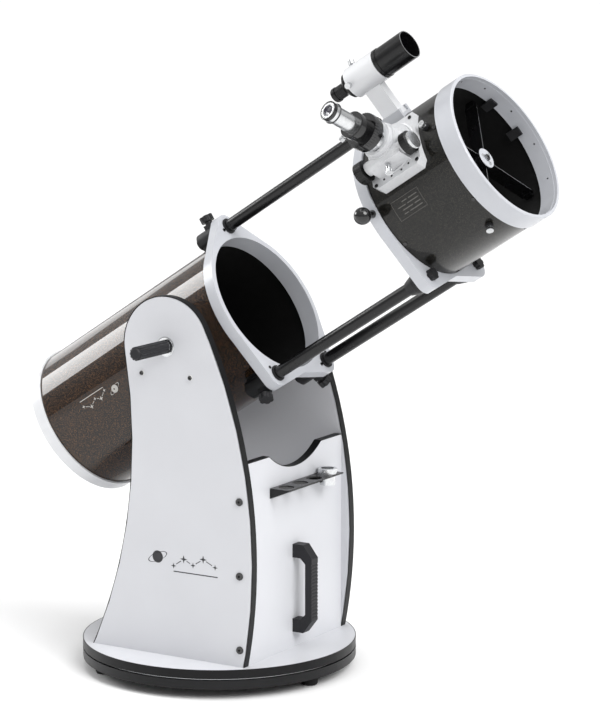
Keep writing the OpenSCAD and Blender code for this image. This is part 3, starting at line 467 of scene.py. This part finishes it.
def disc(bm, f, c, r, inner=0.0, seg=28, squeeze=1.0, turn=0.0):
    """A flat disc, or a ring if inner is given, squeezed and turned, mapped by f."""
    def point(rad, i):
        t = 2 * math.pi * i / seg
        x, y = rad * math.cos(t), rad * math.sin(t) * squeeze
        return f(c[0] + x * math.cos(turn) - y * math.sin(turn),
                 c[1] + x * math.sin(turn) + y * math.cos(turn))
    outer = [bm.verts.new(point(r, i)) for i in range(seg)]
    if inner:
        ring = [bm.verts.new(point(inner, i)) for i in range(seg)]
        for i in range(seg):
            j = (i + 1) % seg
            bm.faces.new((outer[i], outer[j], ring[j], ring[i]))
    else:
        bm.faces.new(outer)


def star(bm, f, c, r):
    """A four-pointed star mapped by f."""
    pts = []
    for k in range(8):
        q = r if k % 2 == 0 else r * 0.32
        t = math.pi / 4 * k
        pts.append(bm.verts.new(f(c[0] + q * math.cos(t), c[1] + q * math.sin(t))))
    bm.faces.new(pts)


def emblem(bm, f, w):
    """A small ringed globe with a line of linked stars beside it, w wide."""
    k = w / 0.175
    disc(bm, f, (-0.062 * k, 0.004 * k), 0.0125 * k)
    disc(bm, f, (-0.062 * k, 0.004 * k), 0.0245 * k, 0.0222 * k, 48, 0.34, 0.42)
    path = [(-0.024, -0.010), (0.000, 0.006), (0.022, -0.004), (0.046, 0.011), (0.074, -0.002)]
    path = [(x * k, y * k) for x, y in path]
    for p, q in zip(path, path[1:]):
        a, b = Vector(p), Vector(q)
        d = (b - a).normalized() * 0.0075 * k
        strip(bm, f, a + d, b - d, 0.0016 * k)
    for i, p in enumerate(path):
        star(bm, f, p, (0.0085 if i % 2 else 0.0062) * k)
    strip(bm, f, (-0.024 * k, -0.021 * k), (0.080 * k, -0.021 * k), 0.0022 * k, 12)


for sign, name, body in ((-1, "board_emblem_near", "rocker"), (1, "board_emblem_far", "rocker")):
    bm = bmesh.new()
    emblem(bm, lambda u, v: (MARK_X - sign * u, sign * (BOARD_Y + 0.00012), MARK_Z + v), 0.172)
    piece(name, bm, ink_dark, body)

bm = bmesh.new()
emblem(bm, lambda u, v: at(-0.222 - u, 181.0 + math.degrees(v / TUBE_R), TUBE_R + 0.00015), 0.112)
piece("tube_emblem", bm, ink_pale, "tube")

bm = bmesh.new()


def on_cage(u, v):
    return at(0.5905 - u, 188.0 - math.degrees(v / TUBE_R), TUBE_R + 0.00015)


for p, q in (((-0.032, 0.019), (0.032, 0.019)), ((-0.032, -0.019), (0.032, -0.019)),
             ((-0.032, -0.019), (-0.032, 0.019)), ((0.032, -0.019), (0.032, 0.019))):
    strip(bm, on_cage, p, q, 0.0006, 12)
for row, dashes in enumerate(((0.020, 0.012), (0.027, 0.018), (0.014, 0.024), (0.030, 0.010))):
    x = -0.026
    for d in dashes:
        y = 0.011 - row * 0.0074
        strip(bm, on_cage, (x, y), (x + d, y), 0.0016, 4)
        x += d + 0.004
piece("cage_label", bm, ink_grey, "cage")

# ---------------------------------------------------------------- rocker details
for sign in (-1, 1):
    tag = "near" if sign < 0 else "far"
    out = Vector((0, sign, 0))
    bm = bmesh.new()
    for z in BOLT_Z:
        m = facing(Vector((BOLT_X, sign * (BOARD_Y + 0.0022), z)), out)
        lathe(bm, [(0.0076, -0.0022), (0.0076, 0.0000), (0.0070, 0.0009), (0.0, 0.0012)], 32, m,
              False)
    piece("bolt_covers_" + tag, bm, smooth_black, "rocker")
    # painted shade: flat dark hexagons on the bolt caps stand for the shade inside the hex
    # sockets
    bm = bmesh.new()
    for z in BOLT_Z:
        m = facing(Vector((BOLT_X, sign * (BOARD_Y + 0.0031), z)), out)
        lathe(bm, [(0.0, 0.0006), (0.0026, 0.0006), (0.0026, 0.0002)], 6, m, False)
    piece("bolt_socket_shade_" + tag, bm, socket_shade, "rocker")
    bm = bmesh.new()
    for x in (AXIS_X - POST_STEP, AXIS_X + POST_STEP):
        m = facing(Vector((x, sign * (BOARD_Y + 0.0012), AXIS_Z - POST_DROP)), out)
        screw_head(bm, m, 0.0046, 0.0022)
    piece("post_screws_" + tag, bm, smooth_black, "rocker")
    bm = bmesh.new()
    lathe(bm, [(0.0195, 0.0002), (0.0195, 0.0011), (0.0185, 0.0015), (0.0168, 0.0015),
               (0.0168, 0.0002)], 48, facing(Vector((AXIS_X, sign * BOARD_Y, AXIS_Z)), out))
    piece("altitude_washer_" + tag, bm, steel, "rocker")

# ---------------------------------------------------------------- spider and front ring details
bm = bmesh.new()
lathe(bm, [(0.0072, 0.0), (0.0072, 0.0014), (0.0195, 0.0014), (0.0205, 0.0006), (0.0205, 0.0)],
      48, along(HUB_FRONT + 0.0016))
piece("hub_disc", bm, enamel, "cage")
bm = bmesh.new()
for a in HUB_SCREWS:
    screw_head(bm, along(HUB_FRONT + 0.0031, a, 0.012), 0.0036, 0.0016)
piece("hub_screws", bm, steel, "cage")
bm = bmesh.new()
screw_head(bm, along(HUB_FRONT + 0.0049), 0.0064, 0.002)
piece("hub_bolt", bm, smooth_black, "cage")
# painted highlight: thin bright steel strips on the front edges of the black vanes stand for the
# grey highlight line along each edge
bm = bmesh.new()
for a in VANES:
    slab(bm, (HUB_FRONT - 0.0019, HUB_FRONT - 0.0016), (-0.00045, 0.00045), (0.0215, 0.1415),
         stand(0.0, a, 0.0))
piece("vane_edge_highlights", bm, steel, "cage")
bm = bmesh.new()
for a in (0, 30, 60, 90, 150, 210, 270, 330):
    m = stand(CAGE_FRONT - 0.018, a, RING_IN) @ Matrix.Rotation(math.pi, 4, "X")
    dome(bm, 0.0019, 0.0008, 0.0, 16, 3, m, 0.0004)
piece("ring_inner_screws", bm, smooth_black, "cage")
bm = bmesh.new()
for a in VANES:
    lathe(bm, [(0.0078, 0.0003), (0.0078, 0.0052), (0.0070, 0.0058), (0.0050, 0.0058),
               (0.0050, 0.0003)], 32, stand(HUB_FRONT - 0.015, a, TUBE_R))
piece("nut_collars", bm, grained, "cage")

# ---------------------------------------------------------------- focuser details
def focus(z, x=0.0, y=0.0):
    """Local Z along the focuser axis."""
    return axes(at(FOCUS_X + x, FOCUS_A, z, y), ALONG, tangent(FOCUS_A), radial(FOCUS_A))


bm = bmesh.new()
for x in (-0.050, 0.050):
    for y in (-0.056, 0.042):
        screw_head(bm, focus(PLATE_TOP, x, y), 0.0040, 0.0015)
for x, y in ((-0.030, -0.053), (-0.012, -0.056), (0.012, -0.056), (0.030, -0.053)):
    screw_head(bm, focus(PLATE_TOP, x, y), 0.0022, 0.0009)
piece("focuser_screws", bm, smooth_black, "cage")
bm = bmesh.new()
lathe(bm, [(0.0485, 0.0), (0.0485, 0.0012), (0.0500, 0.0018), (0.0520, 0.0018), (0.0530, 0.0)],
      72, focus(PLATE_TOP))
piece("focuser_rim", bm, focus_enamel, "cage")
bm = bmesh.new()
lathe(bm, [(0.0362, 0.0), (0.0368, 0.0010), (0.0368, 0.0022), (0.0362, 0.0032)], 72,
      focus(TOWER_BAND), False)
lathe(bm, [(0.0327, 0.0), (0.0333, 0.0008), (0.0333, 0.0018), (0.0327, 0.0026)], 72,
      focus(COLLAR_BAND), False)
piece("focuser_bands", bm, focus_enamel, "cage")
bm = bmesh.new()
lathe(bm, [(0.0255, 0.0), (0.0258, 0.0), (0.0258, 0.0028), (0.0255, 0.0028)], 64,
      focus(CUP_RIM))
piece("cup_edge", bm, anodised, "drawtube")
bm = bmesh.new()
lathe(bm, [(0.0165, 0.0), (0.0192, 0.0), (0.0200, 0.0008), (0.0200, 0.0016), (0.0165, 0.0016)],
      64, focus(CUP_TOP + 0.0467))
piece("eyepiece_band", bm, smooth_black, "ocular")
bm = bmesh.new()
dome(bm, 0.0112, 0.0016, 0.0, 40, 8, focus(CUP_TOP + 0.0555))
piece("eyepiece_lens", bm, glass_coat, "ocular")
bm = bmesh.new()
prof = [(0.0187, 0.0), (0.0187, 0.0062), (0.0172, 0.0068), (0.0155, 0.0066), (0.0112, 0.0040),
        (0.0112, 0.0)]
lathe(bm, prof, 64, focus(CUP_TOP + 0.0560))
piece("eyepiece_cap", bm, smooth_black, "ocular")

# ---------------------------------------------------------------- finder optics
def finder(s, t=0.0):
    """Local Z along the finder axis."""
    return axes(at(s, FINDER_A, FINDER_R, t), radial(FINDER_A), tangent(FINDER_A) * -1.0, ALONG)


bm = bmesh.new()
dome(bm, 0.0262, 0.0024, 0.0, 56, 10, finder(SLEEVE_FRONT + 0.032))
piece("finder_lens", bm, glass_coat, "finder")
bm = bmesh.new()
lathe(bm, [(0.0262, 0.0), (0.0262, 0.0016), (0.0247, 0.0016), (0.0247, 0.0)], 64,
      finder(SLEEVE_FRONT + 0.0335))
piece("finder_lens_ring", bm, turned, "finder")
bm = bmesh.new()
lathe(bm, [(0.0270, 0.0), (0.0281, 0.0), (0.0281, 0.0004), (0.0270, 0.0004)], 72,
      finder(FINDER_FRONT - 0.0003))
piece("finder_rim", bm, turned, "finder")
# painted highlight: a silver ring at the front of the finder sleeve stands for the highlight on
# the black flange
bm = bmesh.new()
lathe(bm, [(0.0240, 0.0), (0.0263, 0.0), (0.0268, 0.0008), (0.0268, 0.0032), (0.0240, 0.0032)],
      64, finder(SLEEVE_FRONT + 0.0003))
piece("finder_flange_highlight", bm, turned, "finder")
bm = bmesh.new()
dome(bm, 0.0078, 0.0010, 0.0, 32, 6,
     finder(FINDER_BACK + 0.0042) @ Matrix.Rotation(math.pi, 4, "X"))
piece("finder_eye_lens", bm, glass_coat, "finder")
bm = bmesh.new()
for k in range(6):
    lathe(bm, [(0.0129, 0.0), (0.0134, 0.0008), (0.0129, 0.0016)], 40,
          finder(FINDER_BACK + 0.012 + 0.0034 * k), False)
piece("finder_eye_ribs", bm, grained, "finder")

# ---------------------------------------------------------------- ring fasteners
bm = bmesh.new()
for a in RODS:
    for t in (-0.020, 0.020):
        screw_head(bm, along(LOWER_RING_FRONT, a, 0.164, -t), 0.0034, 0.0016)
piece("ring_screws", bm, smooth_black, "tube")
bm = bmesh.new()
for a in RODS:
    for t in (-0.013, 0.013):
        for s in (0.070, 0.100):
            screw_head(bm, stand(s, a, 0.1665, t), 0.0030, 0.0018)
piece("clamp_screws", bm, steel, "tube")

# ---------------------------------------------------------------- floor, light, camera
bm = bmesh.new()
bmesh.ops.create_circle(bm, cap_ends=True, segments=96, radius=150.0)
mesh = bpy.data.meshes.new("floor")
bm.to_mesh(mesh)
bm.free()
paper = surface("paper_floor", (0.93, 0.93, 0.93), (0.92, 0.92, 0.92), 2.0, 0.5, rough=0.9,
                rough_spread=0.02, specular=0.0)
mesh.materials.append(paper)
floor = bpy.data.objects.new("floor", mesh)
bpy.context.scene.collection.objects.link(floor)

# a pale room that is darker at eye level than overhead
world = bpy.data.worlds.new("studio")
bpy.context.scene.world = world
world.use_nodes = True
tree = world.node_tree
bg = tree.nodes["Background"]
co = tree.nodes.new("ShaderNodeTexCoord")
sep = tree.nodes.new("ShaderNodeSeparateXYZ")
ramp = tree.nodes.new("ShaderNodeValToRGB")
tree.links.new(co.outputs["Generated"], sep.inputs[0])
tree.links.new(sep.outputs["Z"], ramp.inputs[0])
tree.links.new(ramp.outputs[0], bg.inputs[0])
low, high = ramp.color_ramp.elements
low.position, low.color = 0.0, (0.34, 0.34, 0.345, 1.0)
high.position, high.color = 0.45, (0.62, 0.62, 0.62, 1.0)
bg.inputs[1].default_value = 1.0


def sun(name, power, angle, azimuth, height):
    """A wide soft lamp; azimuth is measured from +X towards +Y."""
    lamp = bpy.data.lights.new(name, "SUN")
    lamp.energy = power
    lamp.angle = math.radians(angle)
    ob = bpy.data.objects.new(name, lamp)
    bpy.context.scene.collection.objects.link(ob)
    a, h = math.radians(azimuth), math.radians(height)
    back = Vector((math.cos(a) * math.cos(h), math.sin(a) * math.cos(h), math.sin(h)))
    ob.rotation_euler = back.to_track_quat("Z", "Y").to_euler()
    ob.location = back * 5.0


sun("key", 2.5, 40.0, -17.0, 42.0)


def softbox(name, power, where, target, size_x, size_y):
    """A flat lamp at one place that faces another."""
    lamp = bpy.data.lights.new(name, "AREA")
    lamp.shape = "RECTANGLE"
    lamp.size = size_x
    lamp.size_y = size_y
    lamp.energy = power
    ob = bpy.data.objects.new(name, lamp)
    bpy.context.scene.collection.objects.link(ob)
    ob.location = where
    ob.rotation_euler = (Vector(where) - Vector(target)).to_track_quat("Z", "Y").to_euler()


# the two at the back draw the bright bands along the tube, the third lights the floor
softbox("strip_back", 135.0, (-6.0, -0.87, 3.0), (0.0, 0.0, 0.8), 2.9, 1.7)
softbox("panel_back", 18.0, (-5.1, 3.1, 1.7), (-0.1, 0.0, 0.7), 2.3, 1.6)
softbox("overhead", 45.0, (0.4, -0.6, 4.2), (0.2, -0.2, 0.0), 2.4, 2.4)

cam_data = bpy.data.cameras.new("camera")
cam_data.sensor_width = 36.0
cam_data.lens = 140.97
cam_data.clip_end = 500.0
cam = bpy.data.objects.new("camera", cam_data)
bpy.context.scene.collection.objects.link(cam)
cam.location = (3.0300, -4.6549, 1.5471)
cam.rotation_euler = (math.radians(90.0 - 9.531), 0.0, math.radians(31.387))
bpy.context.scene.camera = cam
bpy.context.scene.view_settings.view_transform = "Standard"

bpy.context.view_layer.update()
